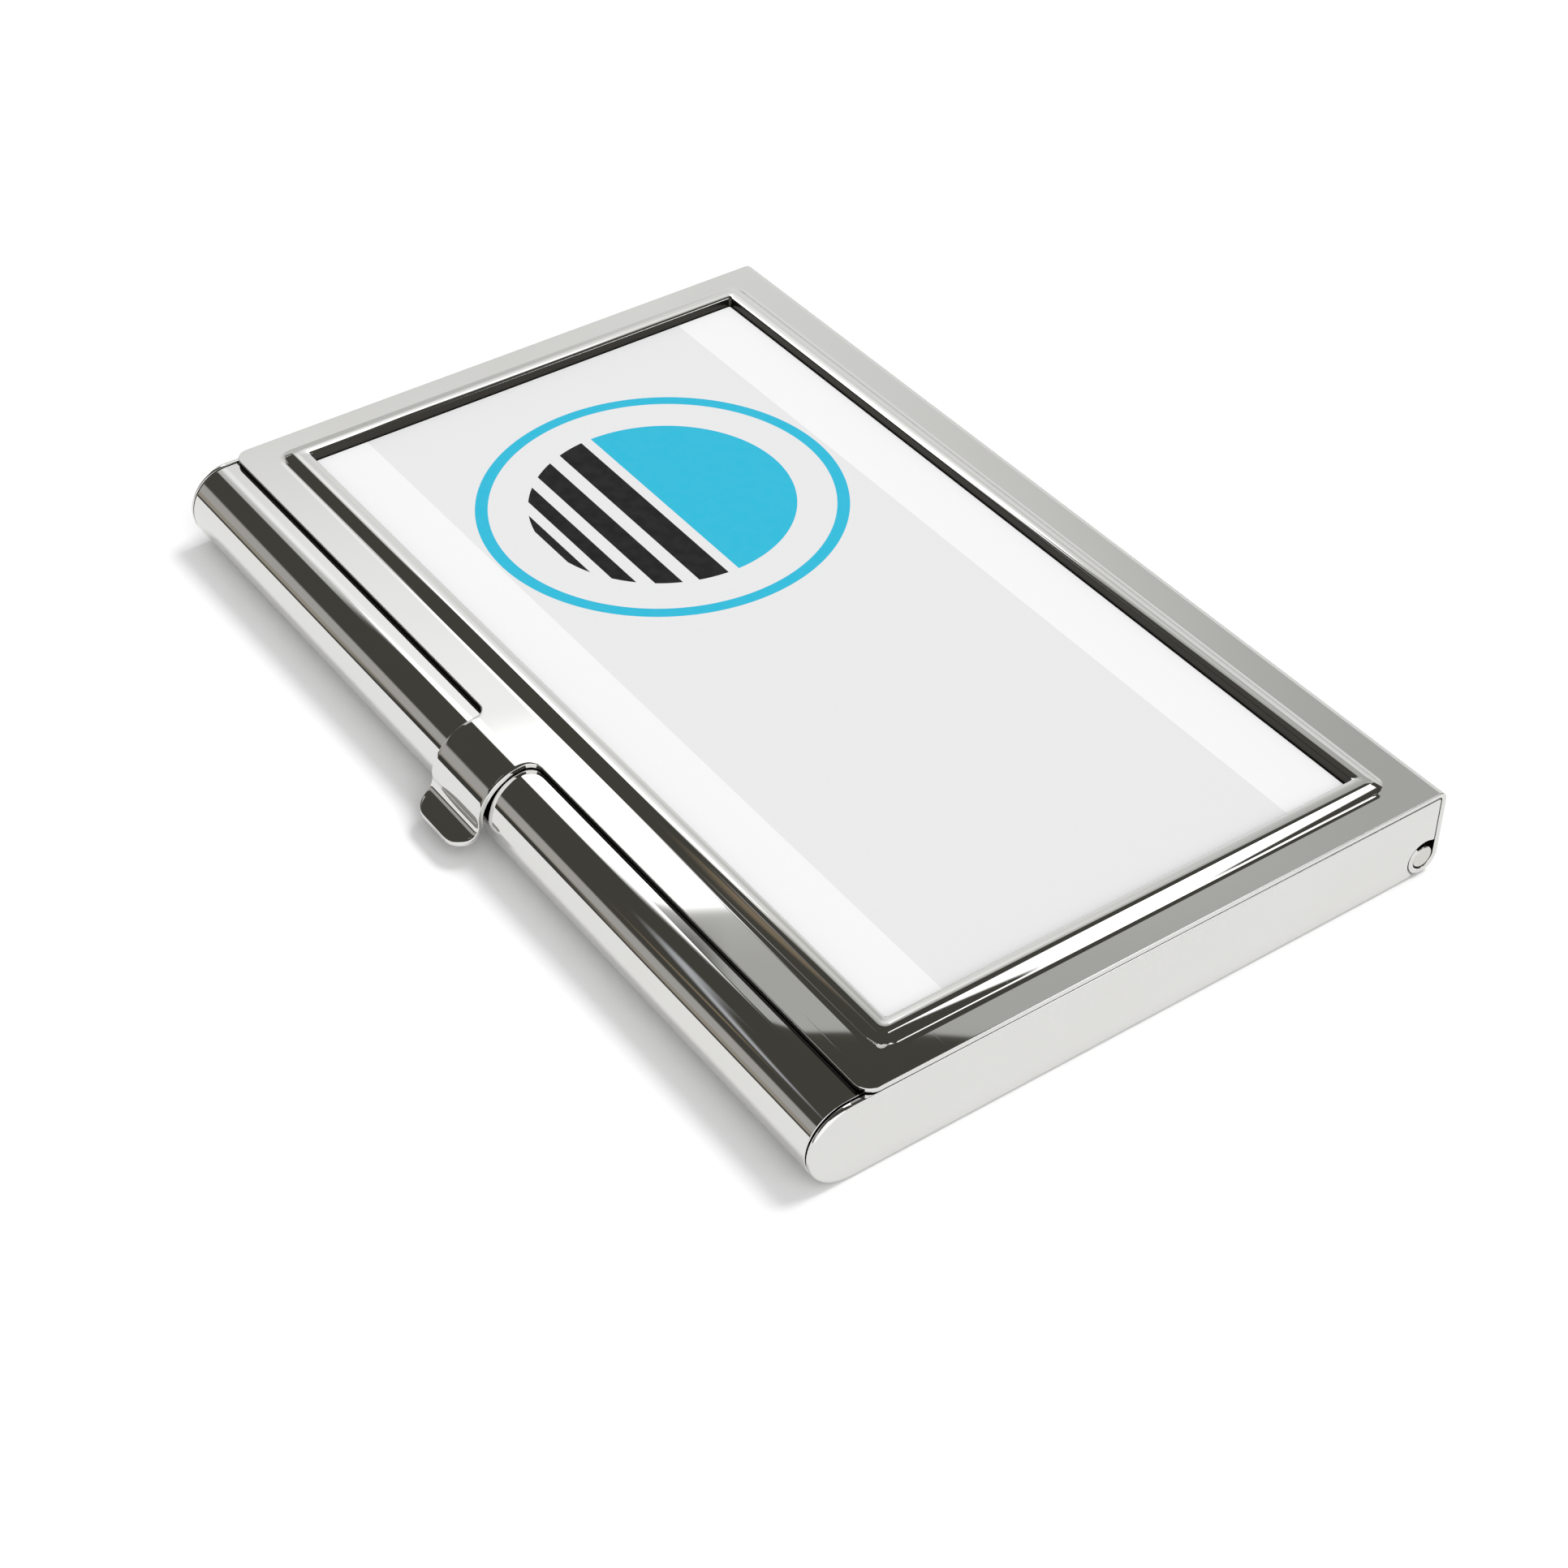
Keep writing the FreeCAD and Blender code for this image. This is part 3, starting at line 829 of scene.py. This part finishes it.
def panel_mask(graph, azimuth, elevation, azimuths, elevations, turn):
    """1 inside a panel, fading to 0 over its soft edges."""
    middle_azimuth = (azimuths[0][0] + azimuths[1][0]) / 2
    middle_elevation = (elevations[0][0] + elevations[1][0]) / 2
    if turn:
        cos, sin = math.cos(math.radians(turn)), math.sin(math.radians(turn))
        across = graph.math("SUBTRACT", azimuth, middle_azimuth)
        up = graph.math("SUBTRACT", elevation, middle_elevation)
        azimuth = graph.math("ADD", graph.math("MULTIPLY", across, cos),
                             graph.math("MULTIPLY", up, sin))
        azimuth = graph.math("ADD", azimuth, middle_azimuth)
        elevation = graph.math("SUBTRACT", graph.math("MULTIPLY", up, cos),
                               graph.math("MULTIPLY", across, sin))
        elevation = graph.math("ADD", elevation, middle_elevation)
    mask = 1.0
    for value, ((low, low_soft), (high, high_soft)) in ((azimuth, azimuths), (elevation, elevations)):
        mask = graph.math("MULTIPLY", graph.ramp(value, low - low_soft, low + low_soft), mask)
        mask = graph.math("MULTIPLY", graph.ramp(value, high - high_soft, high + high_soft, 1.0, 0.0), mask)
    return mask


def make_world():
    """The panels for mirror reflections, a white backdrop, and an even pale dome as the light."""
    world = bpy.data.worlds.new("studio")
    bpy.context.scene.world = world
    world.use_nodes = True
    graph = Graph(world.node_tree)
    direction = graph.add("ShaderNodeTexCoord").outputs["Generated"]
    axes = graph.add("ShaderNodeSeparateXYZ", {0: direction}).outputs
    to_degrees = 180 / math.pi
    back_x = graph.math("MULTIPLY", axes[0], -1.0)
    back_y = graph.math("MULTIPLY", axes[1], -1.0)
    azimuth = graph.math("MULTIPLY", graph.math("ARCTAN2", back_y, back_x), to_degrees)
    azimuth = graph.math("ADD", azimuth, 180.0)
    elevation = graph.math("MULTIPLY", graph.math("ARCSINE", axes[2]), to_degrees)
    colour = ROOM_COLOUR
    for _, azimuths, elevations, turn, panel in PANELS:
        mask = panel_mask(graph, azimuth, elevation, azimuths, elevations, turn)
        colour = graph.mix_colour(mask, colour, panel)
    mirrored = graph.add("ShaderNodeLightPath").outputs["Is Glossy Ray"]
    colour = graph.mix_colour(mirrored, DOME_COLOUR, colour)
    seen = graph.add("ShaderNodeLightPath").outputs["Is Camera Ray"]
    colour = graph.mix_colour(seen, colour, BACKDROP_COLOUR)
    background = graph.add("ShaderNodeBackground", {"Color": colour, "Strength": 1.0})
    out = graph.add("ShaderNodeOutputWorld")
    graph.tree.links.new(background.outputs[0], out.inputs[0])


def make_light(name, energy, angle, direction):
    data = bpy.data.lights.new(name, "SUN")
    data.energy = energy
    data.angle = math.radians(angle)
    light = bpy.data.objects.new(name, data)
    bpy.context.scene.collection.objects.link(light)
    light.rotation_euler = Vector(direction).to_track_quat("-Z", "Y").to_euler()
    light.visible_glossy = False


def make_floor():
    half = 4.0          # metres
    z = -0.02 * MM      # just clear of the tray's underside
    mesh = bpy.data.meshes.new("floor")
    corners = [(-half, -half, z), (half, -half, z), (half, half, z), (-half, half, z)]
    mesh.from_pydata(corners, [], [(0, 1, 2, 3)])
    floor = bpy.data.objects.new("floor", mesh)
    bpy.context.scene.collection.objects.link(floor)
    material, graph = new_material("pale_floor")
    place = graph.add("ShaderNodeTexCoord").outputs["Object"]
    grain = graph.ramp(graph.noise(place, 8, 2.0), 0.3, 0.7)
    colour = graph.mix_colour(grain, (0.90, 0.90, 0.90, 1), (0.92, 0.92, 0.92, 1))
    # Painted shade: in the steel's reflections the floor is darker than it is for all other rays.
    mirrored = graph.add("ShaderNodeLightPath").outputs["Is Glossy Ray"]
    colour = graph.mix_colour(mirrored, colour, (0.82, 0.82, 0.81, 1))
    shader = graph.add("ShaderNodeBsdfPrincipled", {"Base Color": colour, "Roughness": 0.9,
                                                    "Specular IOR Level": 0.0})
    out = graph.add("ShaderNodeOutputMaterial")
    graph.tree.links.new(shader.outputs[0], out.inputs[0])
    paint(floor, material)


# --- scene --------------------------------------------------------------------------------------

make_camera()
bpy.context.scene.view_settings.view_transform = "Standard"

polished = steel("polished_steel", (0.745, 0.743, 0.735, 1), (0.730, 0.725, 0.712, 1),
                 shine=0.011, haze=0.024, scratch_depth=0.002)
pin_steel = steel("pin_steel", (0.700, 0.690, 0.670, 1), (0.640, 0.625, 0.600, 1),
                  shine=0.120, haze=0.220, scratch_depth=0.010)
pieces = (
    (tray_shell(), "base", "tray_shell", "polished_steel", polished),
    (hinge_pin(), "base", "hinge_pin", "pin_steel", pin_steel),
    (lid_shell(), "lid", "lid_shell", "polished_steel", polished),
    (insert_plate(), "lid", "insert_plate", "printed_plate", printed_plastic()),
)
for piece, body, node, slot, material in pieces:
    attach(piece, body)
    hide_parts(node)
    paint(piece, material)
paint(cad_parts["insert_adhesive"], tape())

make_world()
make_light("key", energy=1.64, angle=20, direction=(-0.06, -0.47, -0.88))
make_light("fill", energy=1.12, angle=50, direction=(-0.70, 0.10, -0.70))
make_floor()
